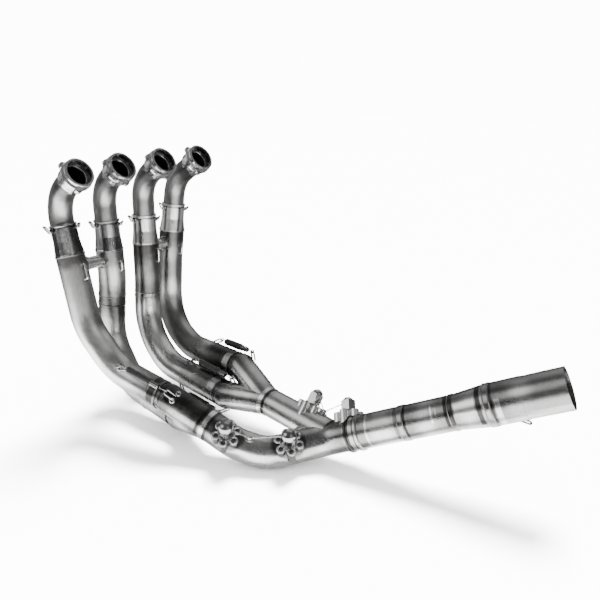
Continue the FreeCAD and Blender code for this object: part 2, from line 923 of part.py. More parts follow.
def collector_spring_hooks():
    hooks = []
    for name, (number, clock) in spring_clocks.items():
        numbers, run_name = collector_of(number)
        middle, direction, normal = spring_line(name)
        tip = middle + direction * spring_after_mouth
        foot = tip + direction * hook_length - normal * (hook_rise + hook_wire_radius)
        branch = merge_branch(primary_routes[number], run_routes[run_name], branch_depth(numbers, number),
                              inlet_radius - 0.1, run_radii[run_name])
        carrier = branch.fuse(collector_inlet(primary_routes[number]))
        hooks.append(eye_hook(foot, normal, direction * -1, carrier, deep_hook_sink))
    return Part.makeCompound(hooks)


def build_nodes():
    nodes = {}
    for number in primary_routes:
        nodes["inlet_collar_%d" % number] = inlet_collar(number)
        nodes["head_bend_%d" % number] = head_bend(number)
        nodes["slip_sleeve_%d" % number] = slip_sleeve(number)
        nodes["primary_%d" % number] = primary_lower(number)
    for number in upper_end:
        nodes["primary_%d_upper" % number] = primary_upper(number)
    for pair in balance_stations:
        label = "%d%d" % pair
        nodes["balance_socket_" + label] = balance_socket(pair)
        nodes["balance_spigot_" + label] = balance_spigot(pair)
    nodes["collector_12"] = merge_collector((1, 2), "main")
    nodes["collector_34"] = merge_collector((3, 4), "branch")
    nodes["secondary_12"] = secondary_main()
    nodes["secondary_34"] = secondary_branch()
    nodes["cross_tube"] = cross_tube()
    nodes["outlet_band"] = outlet_band()
    nodes["link_pipe_front"] = link_pipe_front()
    nodes["link_ring"] = link_ring()
    nodes["link_pipe_rear"] = link_pipe_rear()
    nodes["tail_cone"] = tail_cone()
    nodes["tail_band"] = tail_band()
    nodes["tail_tube"] = tail_tube()
    nodes["tail_hook"] = tail_hook()
    for name in bosses:
        nodes["sensor_boss_" + name] = sensor_boss(name)
        nodes["plug_" + name] = sensor_plug(name)
    for pair in wire_lugs:
        label = "%s%s" % pair
        nodes["wire_lug_" + label] = wire_lug(pair)
        nodes["safety_wire_" + label] = safety_wire(pair)
    nodes["slip_joint_hooks"] = slip_joint_hooks()
    nodes["balance_hooks"] = balance_hooks()
    nodes["joint_springs"] = joint_springs()
    nodes["spring_sleeves"] = spring_sleeves()
    nodes["primary_spring_hooks"] = primary_spring_hooks()
    nodes["collector_spring_hooks"] = collector_spring_hooks()
    return nodes


os.makedirs("parts", exist_ok=True)
for node_name, node_shape in build_nodes().items():
    node_shape.exportStep("parts/%s.step" % node_name)
    print(node_name, len(node_shape.Solids), "solids", round(node_shape.Volume), "mm3",
          "valid" if node_shape.isValid() else "not valid")
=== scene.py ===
import math

import bpy
from mathutils import Matrix, Vector


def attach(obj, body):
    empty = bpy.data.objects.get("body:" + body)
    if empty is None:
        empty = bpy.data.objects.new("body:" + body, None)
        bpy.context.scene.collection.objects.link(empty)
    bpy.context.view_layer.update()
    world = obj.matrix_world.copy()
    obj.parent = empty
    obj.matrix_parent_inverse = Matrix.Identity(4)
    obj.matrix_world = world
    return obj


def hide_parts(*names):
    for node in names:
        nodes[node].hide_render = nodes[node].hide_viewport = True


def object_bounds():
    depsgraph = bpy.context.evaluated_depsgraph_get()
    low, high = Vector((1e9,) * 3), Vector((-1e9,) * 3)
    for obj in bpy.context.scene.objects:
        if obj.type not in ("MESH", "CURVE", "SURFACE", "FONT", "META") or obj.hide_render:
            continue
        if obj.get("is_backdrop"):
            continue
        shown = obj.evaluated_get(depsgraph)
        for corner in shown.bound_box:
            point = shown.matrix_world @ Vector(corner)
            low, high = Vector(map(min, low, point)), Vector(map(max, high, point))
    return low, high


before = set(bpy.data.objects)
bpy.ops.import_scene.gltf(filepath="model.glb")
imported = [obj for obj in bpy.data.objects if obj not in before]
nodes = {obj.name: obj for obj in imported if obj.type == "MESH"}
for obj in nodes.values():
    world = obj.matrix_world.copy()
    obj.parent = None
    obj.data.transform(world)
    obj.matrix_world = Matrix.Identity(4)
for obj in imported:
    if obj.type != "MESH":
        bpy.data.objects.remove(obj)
lowCorner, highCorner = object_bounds()
cadBox = [list(lowCorner), list(highCorner)]
print("frame loaded:", len(nodes), "nodes")


# camera, at the angle and distance of the photograph

cameraSetup = {
    "place": (0.899, -0.650, 0.152),
    "looks": (-0.5635, 0.7614, -0.3206),
    "lens": 41.3,          # on a 36 mm sensor
}


def makeCamera():
    turn = Vector(cameraSetup["looks"]).to_track_quat("-Z", "Y").to_euler()
    bpy.ops.object.camera_add(location=cameraSetup["place"], rotation=turn)
    camera = bpy.context.object
    camera.name = "headerCamera"
    camera.data.lens = cameraSetup["lens"]
    camera.data.sensor_width = 36
    camera.data.clip_start = 0.01
    camera.data.clip_end = 60
    bpy.context.scene.camera = camera


makeCamera()
print("camera placed")


# floor, sky and lights

stageSetup = {
    "floorSize": 14.0,
    "floorMiddle": (0.3, 0.2),
    "floorGap": 0.0006,      # between the lowest pipe and the floor
    "floorColour": 0.93,
    "floorRough": 0.9,
    "floorSpecular": 0.05,
    "sheetColour": 0.66,     # painted pool of light on the floor, which only mirrored rays see
    "sheetEdge": 0.022,      # painted dark floor beyond it, for mirrored rays as well
    "sheetHalf": (1.3, 0.85),      # half width, and half length towards the camera
    "sheetMiddle": (0.46, -0.37),
    "sheetFade": (0.58, 0.92),
    "sheetTurn": 15,
    "skyWhite": 13.0,        # what the camera sees behind the floor
    "skyLight": 3.0,         # what lights the floor, and the rest comes from the sun
    "sunPower": 42.0,
    "sunSpread": 0.4,
    "sunWay": (0.12, -0.5, -1.0),
    "studioDark": 0.045,     # what the pipes mirror of the dark room
    "studioTop": 0.26,
    "studioTopFrom": 0.9,    # height on the unit sky where the top's tone is reached
    "glows": (
        # soft patches of the room that the pipes mirror: direction, cosines of edge and heart, strength
        ((-0.35, 0.75, 0.9), 0.75, 0.98, 0.9),
        ((-0.95, -0.45, 0.35), 0.8, 0.99, 0.8),
        ((0.95, -0.1, 0.55), 0.88, 0.99, 0.6),
        ((-0.75, -1.1, 1.05), 0.90, 0.992, 2.6),
    ),
}

lightSetup = {
    # place, aimed at, width, height, watts
    "keyBox": ((-0.75, -1.0, 0.9), (0.12, 0.1, -0.15), 1.0, 0.8, 7),
}


def socketValue(node, **values):
    for name, value in values.items():
        node.inputs[name.replace("_", " ")].default_value = value


def newNode(tree, kind, **values):
    node = tree.nodes.new(kind)
    socketValue(node, **values)
    return node


def rampBetween(tree, source, low, high, fromValue=0.0, toValue=1.0):
    ramp = tree.nodes.new("ShaderNodeMapRange")
    ramp.interpolation_type = "SMOOTHSTEP"
    ramp.inputs["From Min"].default_value = low
    ramp.inputs["From Max"].default_value = high
    ramp.inputs["To Min"].default_value = fromValue
    ramp.inputs["To Max"].default_value = toValue
    tree.links.new(source, ramp.inputs["Value"])
    return ramp.outputs["Result"]


def noiseOver(tree, place, scale, detail, stretch=(1, 1, 1), rough=0.6):
    shift = tree.nodes.new("ShaderNodeMapping")
    shift.inputs["Scale"].default_value = stretch
    tree.links.new(place, shift.inputs["Vector"])
    noise = newNode(tree, "ShaderNodeTexNoise", Scale=scale, Detail=detail, Roughness=rough)
    tree.links.new(shift.outputs[0], noise.inputs["Vector"])
    return noise.outputs["Fac"]


def blendColours(tree, factor, first, second, how="MIX"):
    mixer = tree.nodes.new("ShaderNodeMix")
    mixer.data_type = "RGBA"
    mixer.blend_type = how
    for index, value in ((0, factor), (6, first), (7, second)):
        if isinstance(value, bpy.types.NodeSocket):
            tree.links.new(value, mixer.inputs[index])
        elif index == 0:
            mixer.inputs[0].default_value = value
        else:
            mixer.inputs[index].default_value = (*value, 1)
    return mixer.outputs[2]


def arithmetic(tree, how, first, second):
    sums = tree.nodes.new("ShaderNodeMath")
    sums.operation = how
    for index, value in enumerate((first, second)):
        if isinstance(value, bpy.types.NodeSocket):
            tree.links.new(value, sums.inputs[index])
        else:
            sums.inputs[index].default_value = value
    return sums.outputs[0]


def greyOf(tree, value):
    joiner = tree.nodes.new("ShaderNodeCombineXYZ")
    for index in range(3):
        tree.links.new(value, joiner.inputs[index])
    return joiner.outputs[0]


def makeFloor():
    floorHeight = cadBox[0][2] - stageSetup["floorGap"]
    bpy.ops.mesh.primitive_plane_add(size=stageSetup["floorSize"],
                                     location=(*stageSetup["floorMiddle"], floorHeight))
    floor = bpy.context.object
    floor.name = "studioFloor"
    paint = bpy.data.materials.new("floorPaint")
    paint.use_nodes = True
    tree = paint.node_tree
    shader = tree.nodes["Principled BSDF"]
    rays = tree.nodes.new("ShaderNodeLightPath")
    sheet = tree.nodes.new("ShaderNodeMapping")
    sheet.vector_type = "TEXTURE"
    sheet.inputs["Location"].default_value = (*stageSetup["sheetMiddle"], floorHeight)
    sheet.inputs["Rotation"].default_value = (0, 0, math.radians(stageSetup["sheetTurn"]))
    sheet.inputs["Scale"].default_value = (*stageSetup["sheetHalf"], 1)
    tree.links.new(tree.nodes.new("ShaderNodeNewGeometry").outputs["Position"], sheet.inputs["Vector"])
    reach = tree.nodes.new("ShaderNodeVectorMath")
    reach.operation = "LENGTH"
    tree.links.new(sheet.outputs[0], reach.inputs[0])
    beyond = rampBetween(tree, reach.outputs["Value"], *stageSetup["sheetFade"])
    shade, lit, edge = stageSetup["floorColour"], stageSetup["sheetColour"], stageSetup["sheetEdge"]
    # a painted pool of light with painted dark floor round it, which only mirrored rays see
    mirrored = blendColours(tree, beyond, (lit,) * 3, (edge,) * 3)
    colour = blendColours(tree, rays.outputs["Is Glossy Ray"], (shade,) * 3, mirrored)
    tree.links.new(colour, shader.inputs["Base Color"])
    shader.inputs["Roughness"].default_value = stageSetup["floorRough"]
    shader.inputs["Specular IOR Level"].default_value = stageSetup["floorSpecular"]
    floor.data.materials.append(paint)
    floor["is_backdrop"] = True


def makeSky():
    sky = bpy.data.worlds.new("studioSky")
    bpy.context.scene.world = sky
    sky.use_nodes = True
    tree = sky.node_tree
    tree.nodes.clear()
    out = tree.nodes.new("ShaderNodeOutputWorld")
    white = newNode(tree, "ShaderNodeBackground", Color=(1, 1, 1, 1))
    mirrored = newNode(tree, "ShaderNodeBackground", Strength=1.0)
    place = tree.nodes.new("ShaderNodeTexCoord")
    split = tree.nodes.new("ShaderNodeSeparateXYZ")
    ramp = tree.nodes.new("ShaderNodeValToRGB")
    dark, top = stageSetup["studioDark"], stageSetup["studioTop"]
    ramp.color_ramp.elements[0].position = 0.0
    ramp.color_ramp.elements[0].color = (dark, dark, dark, 1)
    ramp.color_ramp.elements[1].position = stageSetup["studioTopFrom"]
    ramp.color_ramp.elements[1].color = (top, top, top, 1)
    rays = tree.nodes.new("ShaderNodeLightPath")
    mixer = tree.nodes.new("ShaderNodeMixShader")
    link = tree.links.new
    link(place.outputs["Generated"], split.inputs[0])
    link(split.outputs["Z"], ramp.inputs[0])
    seen = ramp.outputs[0]
    for way, edge, heart, strength in stageSetup["glows"]:
        facing = tree.nodes.new("ShaderNodeVectorMath")
        facing.operation = "DOT_PRODUCT"
        facing.inputs[1].default_value = Vector(way).normalized()
        link(place.outputs["Generated"], facing.inputs[0])
        patch = rampBetween(tree, facing.outputs["Value"], edge, heart, 0.0, strength)
        seen = blendColours(tree, 1.0, seen, greyOf(tree, patch), "ADD")
    link(seen, mirrored.inputs["Color"])
    strength = rampBetween(tree, rays.outputs["Is Camera Ray"], 0.4, 0.6,
                           stageSetup["skyLight"], stageSetup["skyWhite"])
    link(strength, white.inputs["Strength"])
    link(rays.outputs["Is Glossy Ray"], mixer.inputs[0])
    link(white.outputs[0], mixer.inputs[1])
    link(mirrored.outputs[0], mixer.inputs[2])
    link(mixer.outputs[0], out.inputs[0])


def makeLights():
    turn = Vector(stageSetup["sunWay"]).to_track_quat("-Z", "Y").to_euler()
    bpy.ops.object.light_add(type="SUN", rotation=turn)
    sun = bpy.context.object
    sun.name = "shadowSun"
    sun.data.energy = stageSetup["sunPower"]
    sun.data.angle = stageSetup["sunSpread"]
    sun.visible_glossy = False
    for name, (place, target, width, height, power) in lightSetup.items():
        turn = (Vector(target) - Vector(place)).to_track_quat("-Z", "Y").to_euler()
        bpy.ops.object.light_add(type="AREA", location=place, rotation=turn)
        lamp = bpy.context.object
        lamp.name = name
        lamp.data.shape = "RECTANGLE"
        lamp.data.size = width
        lamp.data.size_y = height
        lamp.data.energy = power
        lamp.visible_camera = False
        lamp.visible_glossy = False


makeFloor()
makeSky()
makeLights()
print("stage lit")


# metals: brushed, blotched, darkened near the joints, with painted shade and painted highlights

stainAndShadePlaces = {
    # centre of a darkened place: a joint darkens the pipe around it, and the tops of the pipes and the
    # feet of the bosses get painted shade
    "collar1": (-0.0235, 0.0, -0.0152), "collar2": (-0.0285, 0.088, -0.0152),
    "collar3": (-0.0265, 0.176, -0.0152), "collar4": (-0.0245, 0.264, -0.0182),
    "sleeveEnd1": (-0.0478, 0.0, -0.1388), "sleeveEnd2": (-0.0582, 0.0866, -0.1479),
    "sleeveEnd3": (-0.0641, 0.1735, -0.1534), "sleeveEnd4": (-0.0799, 0.2549, -0.147),
    "upperEnd2": (-0.0586, 0.0845, -0.2288), "upperEnd3": (-0.0645, 0.1703, -0.2453),
    "mouth1": (0.1345, 0.0163, -0.3433), "mouth2": (0.1182, 0.0565, -0.3961),
    "mouth3": (0.1471, 0.1374, -0.3817), "mouth4": (0.1495, 0.1777, -0.3452),
    "merge12": (0.2097, 0.0369, -0.3788), "merge34": (0.2341, 0.1551, -0.3794),
    "bandFront": (0.4050, 0.1445, -0.3812), "bandRear": (0.4253, 0.1504, -0.3721),
    "linkRing": (0.4871, 0.1682, -0.3443), "coneStart": (0.5530, 0.1871, -0.3148),
    "tailBand": (0.6010, 0.2009, -0.2932),
    # top12, top12b, top4 and top3: painted shade on the upper sides of the pipes
    "top12": (0.172, 0.020, -0.322), "top12b": (0.205, 0.026, -0.333),
    "bend12": (0.345, 0.085, -0.372),
    "top4": (0.105, 0.195, -0.315), "top3": (0.09, 0.140, -0.352),
    # bossA and bossB: painted shadow round the feet of the bosses
    "bossA": (0.2612, 0.0249, -0.3728), "bossB": (0.3435, 0.0721, -0.3816),
}


metalDefaults = {
    "light": (0.41, 0.41, 0.405),
    "dark": (0.15, 0.15, 0.15),
    "rough": 0.27,
    "roughSwing": 0.08,
    "blotch": 17.0,        # spots to the metre
    "stretch": (1, 1, 0.2),
    "blotchShare": 0.35,
    "grain": 420.0,
    "grainBump": 0.006,
    "metallic": 1.0,
    "stainsAndShade": (),          # darkened joints and painted shade: name of the place, radius at which it ends, strength
    "stainAndShadeColour": (0.022, 0.021, 0.020),
    # painted strips of shade and highlight: name of the line, from and to along it, side, from and to
    # towards that side, tone, strength
    "bands": (),
    # painted highlight spots, which paint shade instead when their colour is dark: centre, radius where
    # the spot ends, strength, and the radius where it starts to fade if not 0
    "paintedSpots": (),
    "paintedSpotColour": (0.95, 0.95, 0.94),
}

bandLines = {
    # where a line starts, along which way, and towards the side that the bands cover
    "tail": ((0.4836, 0.1671, -0.3459), (0.882, 0.254, 0.396)),
    "mouthOf1": ((0.1345, 0.0163, -0.3433), (0.967, 0.104, -0.233)),
    "mouthOf4": ((0.1495, 0.1777, -0.3452), (0.971, -0.229, 0.072)),
    "mouthOf3": ((0.1471, 0.1374, -0.3817), (0.993, -0.088, -0.082)),
    "merge12": ((0.2180, 0.0380, -0.3820), (0.925, 0.126, -0.358)),
    "merge34": ((0.2430, 0.1540, -0.3800), (0.990, -0.123, -0.069)),
    "wallsA": ((0.2612, 0.0249, -0.3728), (0.371, -0.463, 0.805)),
    "wallsB": ((0.3435, 0.0721, -0.3816), (0.318, -0.421, 0.849)),
}
sideUp = (-0.22, -0.45, 0.86)
sideFront = (-0.05, -0.89, 0.45)
# tones of the painted strips: dark for painted shade, bright for painted highlights and reflections
paintedShadeTone = (0.012, 0.011, 0.011)
paintedHighlightTone = (0.86, 0.86, 0.85)


def makeMetal(name, **look):
    setup = dict(metalDefaults, **look)
    metal = bpy.data.materials.new(name)
    metal.use_nodes = True
    tree = metal.node_tree
    shader = tree.nodes["Principled BSDF"]
    shader.inputs["Metallic"].default_value = setup["metallic"]
    place = tree.nodes.new("ShaderNodeTexCoord").outputs["Object"]
    blotches = noiseOver(tree, place, setup["blotch"], 6, setup["stretch"], 0.62)
    grain = noiseOver(tree, place, setup["grain"], 3, (1, 1, 0.25), 0.7)
    spread = rampBetween(tree, blotches, 0.32, 0.66)
    spread = arithmetic(tree, "MULTIPLY", spread, setup["blotchShare"])
    colour = blendColours(tree, spread, setup["light"], setup["dark"])
    finer = rampBetween(tree, grain, 0.3, 0.75, 0.9, 1.07)
    colour = blendColours(tree, 1.0, colour, greyOf(tree, finer), "MULTIPLY")
    # darkened joints and painted shade, then painted highlight spots, then painted strips of shade and
    # highlight
    for spot, reach, strength in setup["stainsAndShade"]:
        shade = stainAndShadeAt(tree, place, stainAndShadePlaces[spot], reach, strength)
        colour = blendColours(tree, shade, colour, setup["stainAndShadeColour"])
    for centre, reach, strength, *heart in setup["paintedSpots"]:
        spot = spotAt(tree, place, centre, heart[0] if heart else 0.0, reach, strength)
        colour = blendColours(tree, spot, colour, setup["paintedSpotColour"])
    for line, start, stop, side, edges, tone, strength in setup["bands"]:
        mask = bandAt(tree, place, bandLines[line], start, stop, side, edges, strength)
        colour = blendColours(tree, mask, colour, tone)
    tree.links.new(colour, shader.inputs["Base Color"])
    swing = rampBetween(tree, blotches, 0.3, 0.7, setup["rough"] - setup["roughSwing"] / 2,
                        setup["rough"] + setup["roughSwing"] / 2)
    tree.links.new(swing, shader.inputs["Roughness"])
    bump = newNode(tree, "ShaderNodeBump", Strength=setup["grainBump"], Distance=0.001)
    tree.links.new(grain, bump.inputs["Height"])
    tree.links.new(bump.outputs[0], shader.inputs["Normal"])
    return metal


def dotWith(tree, vector, way):
    product = tree.nodes.new("ShaderNodeVectorMath")
    product.operation = "DOT_PRODUCT"
    product.inputs[1].default_value = Vector(way).normalized()
    tree.links.new(vector, product.inputs[0])
    return product.outputs["Value"]


def away(tree, place, centre):
    offset = tree.nodes.new("ShaderNodeVectorMath")
    offset.operation = "SUBTRACT"
    tree.links.new(place, offset.inputs[0])
    offset.inputs[1].default_value = centre
    return offset.outputs["Vector"]


stainAndShadeEdge = {
    "cloud": 45.0,
    "wobble": 0.5,         # share of the darkening's radius
    "wall": 0.024,
}
bandEdge = {
    "cloud": 150.0,
    "ragged": 0.0022,
    "softAlong": 0.0007,
    "softAcross": 0.0015,
}


def centredNoise(tree, place, scale, detail, size):
    centred = arithmetic(tree, "SUBTRACT", noiseOver(tree, place, scale, detail), 0.5)
    return arithmetic(tree, "MULTIPLY", centred, size)


def between(tree, value, low, high, soft):
    rises = rampBetween(tree, value, low - soft, low + soft)
    falls = rampBetween(tree, value, high - soft, high + soft, 1.0, 0.0)
    return arithmetic(tree, "MULTIPLY", rises, falls)


def bandAt(tree, place, line, start, stop, side, edges, strength):
    # a strip round the pipe between two stations, on one side of it, with slightly ragged edges
    offset = away(tree, place, line[0])
    ragged = centredNoise(tree, place, bandEdge["cloud"], 3, bandEdge["ragged"])
    station = arithmetic(tree, "ADD", dotWith(tree, offset, line[1]), ragged)
    along = between(tree, station, start, stop, bandEdge["softAlong"])
    across = between(tree, dotWith(tree, offset, side), *edges, bandEdge["softAcross"])
    return arithmetic(tree, "MULTIPLY", arithmetic(tree, "MULTIPLY", along, across), strength)


def distanceFrom(tree, place, centre):
    gap = tree.nodes.new("ShaderNodeVectorMath")
    gap.operation = "DISTANCE"
    tree.links.new(place, gap.inputs[0])
    gap.inputs[1].default_value = centre
    return gap.outputs["Value"]


def spotAt(tree, place, centre, heart, reach, strength):
    return rampBetween(tree, distanceFrom(tree, place, centre), heart, reach, strength, 0.0)


def stainAndShadeAt(tree, place, centre, reach, strength):
    # fades from the pipe's wall to the radius where the darkening ends, broken up by noise; it draws
    # both the joint stains and the painted shade
    gap = distanceFrom(tree, place, centre)
    wobble = centredNoise(tree, place, stainAndShadeEdge["cloud"], 5, reach * stainAndShadeEdge["wobble"])
    distance = arithmetic(tree, "ADD", gap, wobble)
    return rampBetween(tree, distance, stainAndShadeEdge["wall"], reach, strength, 0.0)


lying = (0.2, 0.9, 0.9)
bendLook = {"light": (0.24, 0.24, 0.237), "dark": (0.11, 0.11, 0.11), "rough": 0.33}

# per pipe: darkened joints with painted shade at the tops and bosses, painted highlight spots, and
# painted strips of shade and highlight
pipeLooks = {
    "head_bend_1": dict(bendLook, stainsAndShade=(("collar1", 0.045, 0.7),)),
    "head_bend_2": dict(bendLook, stainsAndShade=(("collar2", 0.045, 0.7),)),
    "head_bend_3": dict(bendLook, stainsAndShade=(("collar3", 0.045, 0.7),)),
    "head_bend_4": dict(bendLook, stainsAndShade=(("collar4", 0.045, 0.7),)),
    "primary_1": {"light": (0.43, 0.43, 0.425), "dark": (0.23, 0.23, 0.225), "rough": 0.31,
                  "paintedSpots": (((0.0150, -0.0033, -0.2620), 0.026, 0.9),
                             ((0.0300, -0.0040, -0.2780), 0.024, 0.7)),
                  "stainsAndShade": (("sleeveEnd1", 0.034, 0.7), ("mouth1", 0.065, 0.75)),
                  "bands": (("mouthOf1", -0.016, -0.004, sideFront, (-0.004, 0.03), paintedShadeTone, 0.8),)},
    "primary_2_upper": {"rough": 0.34,
                        "stainsAndShade": (("sleeveEnd2", 0.045, 0.7), ("upperEnd2", 0.045, 0.7))},
    "primary_2": {"rough": 0.32, "stainsAndShade": (("upperEnd2", 0.07, 0.85), ("mouth2", 0.05, 0.6)),
                  "paintedSpots": (((-0.0361, 0.0676, -0.3102), 0.025, 0.9),)},
    "primary_3_upper": {"light": (0.2, 0.2, 0.197), "dark": (0.1, 0.1, 0.1), "rough": 0.34,
                        "stainsAndShade": (("sleeveEnd3", 0.075, 0.9), ("upperEnd3", 0.04, 0.5))},
    "primary_3": {"stainsAndShade": (("upperEnd3", 0.04, 0.6), ("mouth3", 0.06, 0.6), ("top3", 0.05, 0.5)),
                  "paintedSpots": (((-0.026, 0.150, -0.285), 0.05, 0.8), ((-0.015, 0.135, -0.325), 0.045, 0.7),
                             ((0.004, 0.125, -0.345), 0.035, 0.4)),
                  "bands": (("mouthOf3", -0.017, -0.002, (0.0, -0.35, 0.93), (0.018, 0.04),
                             paintedHighlightTone, 0.35),)},
    "primary_4": {"light": (0.25, 0.25, 0.247), "dark": (0.11, 0.11, 0.11), "rough": 0.3,
                  "stainsAndShade": (("sleeveEnd4", 0.05, 0.8), ("mouth4", 0.09, 0.8), ("top4", 0.05, 0.6)),
                  "paintedSpots": (((-0.055, 0.225, -0.265), 0.04, 0.9), ((0.06, 0.195, -0.320), 0.03, 0.6)),
                  "bands": (("mouthOf4", -0.0165, -0.001, (-0.2, -0.77, 0.6), (0.0195, 0.04),
                             paintedHighlightTone, 0.6),)},
    "secondary_12": {"stretch": lying,
                     "stainsAndShade": (("merge12", 0.05, 0.8), ("bandFront", 0.05, 0.7), ("bend12", 0.055, 0.5),
                                ("bossA", 0.031, 0.8), ("bossB", 0.031, 0.8)),
                     "bands": (("merge12", 0.0005, 0.004, sideUp, (-0.03, 0.03), paintedShadeTone, 0.7),)},
    "secondary_34": {"stretch": lying, "stainsAndShade": (("merge34", 0.035, 0.5), ("bandFront", 0.05, 0.7)),
                     "bands": (("merge34", 0.0, 0.005, sideUp, (-0.03, 0.03), paintedShadeTone, 0.9),)},
    "link_pipe_front": {"stretch": lying, "stainsAndShade": (("bandRear", 0.04, 0.7), ("linkRing", 0.035, 0.5)),
                        "bands": (("tail", -0.0525, -0.049, sideUp, (-0.04, 0.04), paintedHighlightTone, 0.35),
                                  ("tail", -0.006, 0.0, sideUp, (-0.005, 0.04), paintedShadeTone, 0.6))},
    "link_pipe_rear": {"stretch": lying, "stainsAndShade": (("linkRing", 0.055, 0.75), ("coneStart", 0.05, 0.7)),
                       "bands": (("tail", 0.0045, 0.0125, sideUp, (-0.006, 0.04), paintedShadeTone, 0.9),
                                 ("tail", 0.051, 0.0535, sideFront, (0.018, 0.04), paintedHighlightTone, 0.5),
                                 ("tail", 0.058, 0.060, sideFront, (0.02, 0.04), paintedHighlightTone, 0.3),
                                 ("tail", 0.071, 0.08, sideUp, (0.003, 0.04), paintedShadeTone, 0.9))},
    "tail_cone": {"stretch": lying, "stainsAndShade": (("coneStart", 0.045, 0.6), ("tailBand", 0.045, 0.6)),
                  "bands": (("tail", 0.071, 0.084, sideUp, (0.004, 0.04), paintedShadeTone, 0.85),
                            ("tail", 0.086, 0.116, sideFront, (0.017, 0.04), paintedHighlightTone, 0.45),
                            ("tail", 0.118, 0.125, sideUp, (-0.002, 0.04), paintedShadeTone, 0.9))},
    "tail_tube": {"stretch": lying, "light": (0.33, 0.33, 0.325), "stainsAndShade": (("tailBand", 0.05, 0.7),),
                  "bands": (("tail", 0.125, 0.26, sideUp, (0.009, 0.04), paintedShadeTone, 0.45),
                            ("tail", 0.137, 0.1415, sideUp, (-0.004, 0.04), paintedShadeTone, 0.8),
                            ("tail", 0.1435, 0.151, sideUp, (-0.04, 0.03), paintedHighlightTone, 0.3)),
                  "paintedSpots": (((0.6412, 0.1903, -0.2549), 0.022, 0.55),)},
    "collector_12": {"stretch": lying, "dark": (0.2, 0.2, 0.2),
                     "stainsAndShade": (("mouth1", 0.06, 0.8), ("mouth2", 0.05, 0.7), ("merge12", 0.05, 0.7),
                                ("top12", 0.046, 0.8), ("top12b", 0.046, 0.8)),
                     "bands": (("merge12", -0.0165, -0.0115, sideUp, (-0.03, 0.03), paintedShadeTone, 0.85),
                               ("merge12", -0.0085, -0.001, sideUp, (-0.03, 0.03), paintedHighlightTone, 0.5))},
    "collector_34": {"stretch": lying,
                     "stainsAndShade": (("mouth3", 0.05, 0.8), ("mouth4", 0.05, 0.8), ("merge34", 0.04, 0.4)),
                     "bands": (("merge34", -0.0085, -0.001, sideUp, (-0.03, 0.03), paintedHighlightTone, 0.45),)},
    "cross_tube": {"dark": (0.25, 0.25, 0.25)},
}

bandLook = {"light": (0.2, 0.2, 0.2), "dark": (0.05, 0.05, 0.05), "rough": 0.24}

inletSetup = {
    "wayIn": (-0.839, 0.0, -0.545),
    "rims": ((0.0, 0.0, 0.0), (-0.005, 0.088, 0.0), (-0.003, 0.176, 0.0), (-0.001, 0.264, -0.003)),
    "shadeDepth": 0.008,    # of the middle of the painted shade inside the mouth, inwards from the rim
    "shadeStrength": 0.5,
    "shadeReach": 0.0222,
    "shadeHeart": 0.0205,
    "linerDepth": 0.0137,
    "linerRadius": 0.0179,
    "linerWire": 0.0005,
}


def insideMouth(rim, depth):
    return tuple(Vector(rim) + Vector(inletSetup["wayIn"]) * depth)


# painted shade on the shelf and wall inside each mouth
paintedMouthShade = tuple((insideMouth(rim, inletSetup["shadeDepth"]), inletSetup["shadeReach"],
              inletSetup["shadeStrength"], inletSetup["shadeHeart"]) for rim in inletSetup["rims"])

# one sleeve metal in two copies: darker for sleeves 1 and 2 as painted shade, lighter for sleeves 3 and
# 4 as painted light
shadedSleeve = {"light": (0.46, 0.46, 0.46), "dark": (0.1, 0.1, 0.1), "rough": 0.27,
              "blotch": 60.0, "stretch": (1, 1, 0.06)}
litSleeve = dict(shadedSleeve, light=(0.66, 0.66, 0.65), dark=(0.22, 0.22, 0.22), rough=0.3,
                    metallic=0.99)

sleeveSetup = {
    # middle of each sleeve, way up along it and way to its right
    "lines": {1: ((-0.0523, 0.0, -0.1201), (-0.225, 0.0, 0.974), (0.763, 0.595, 0.176)),
              2: ((-0.0592, 0.0870, -0.1287), (-0.040, 0.011, 0.999), (0.803, 0.595, 0.026)),
              3: ((-0.0639, 0.1739, -0.1341), (-0.004, 0.022, 1.0), (0.804, 0.595, -0.010)),
              4: ((-0.0784, 0.2565, -0.1278), (0.077, 0.095, 0.993), (0.795, 0.584, -0.118))},
    "from": -0.0185,
    "to": 0.0290,
    "underLip": 0.0262,
    "lipShade": 0.7,
    "allRound": (-0.03, 0.03),
    # painted reflections along the sleeves, dark and bright streaks: from and to across it, tone,
    # strength
    "streaks": {1: ((-0.030, -0.008, paintedShadeTone, 0.85), (0.0, 0.008, paintedHighlightTone, 0.8),
                    (0.013, 0.030, paintedShadeTone, 0.7)),
                2: ((-0.030, -0.016, paintedShadeTone, 0.8), (-0.008, -0.004, paintedHighlightTone, 0.5),
                    (-0.003, 0.006, paintedShadeTone, 0.7), (0.016, 0.030, paintedShadeTone, 0.7)),
                3: ((-0.030, -0.0215, paintedShadeTone, 0.8), (-0.0155, -0.0115, paintedShadeTone, 0.8),
                    (-0.007, -0.001, paintedShadeTone, 0.7), (0.0, 0.015, paintedHighlightTone, 0.8),
                    (0.019, 0.030, paintedShadeTone, 0.8)),
                4: ((-0.030, -0.0195, paintedShadeTone, 0.8), (-0.0125, -0.009, paintedShadeTone, 0.8),
                    (-0.008, 0.012, paintedHighlightTone, 0.8), (0.0125, 0.016, paintedShadeTone, 0.8),
                    (0.020, 0.030, paintedShadeTone, 0.8))},
}


def sleeveBands(number):
    setup = sleeveSetup
    middle, up, right = setup["lines"][number]
    line = "sleeve%d" % number
    bandLines[line] = (middle, up)
    bands = [(line, setup["from"], setup["to"], right, (start, stop), tone, strength)
             for start, stop, tone, strength in setup["streaks"][number]]
    bands.append((line, setup["underLip"], setup["to"], right, setup["allRound"], paintedShadeTone,
                  setup["lipShade"]))
    return tuple(bands)


bossLook = {"light": (0.72, 0.72, 0.71), "dark": (0.4, 0.4, 0.4), "rough": 0.2, "metallic": 0.975}


def shadedWalls(line):
    # painted shade on the walls of a boss, up to just below its top
    return dict(bossLook, bands=((line, -0.03, -0.0015, (0, 1, 0), (-0.1, 0.1), paintedShadeTone, 0.75),))


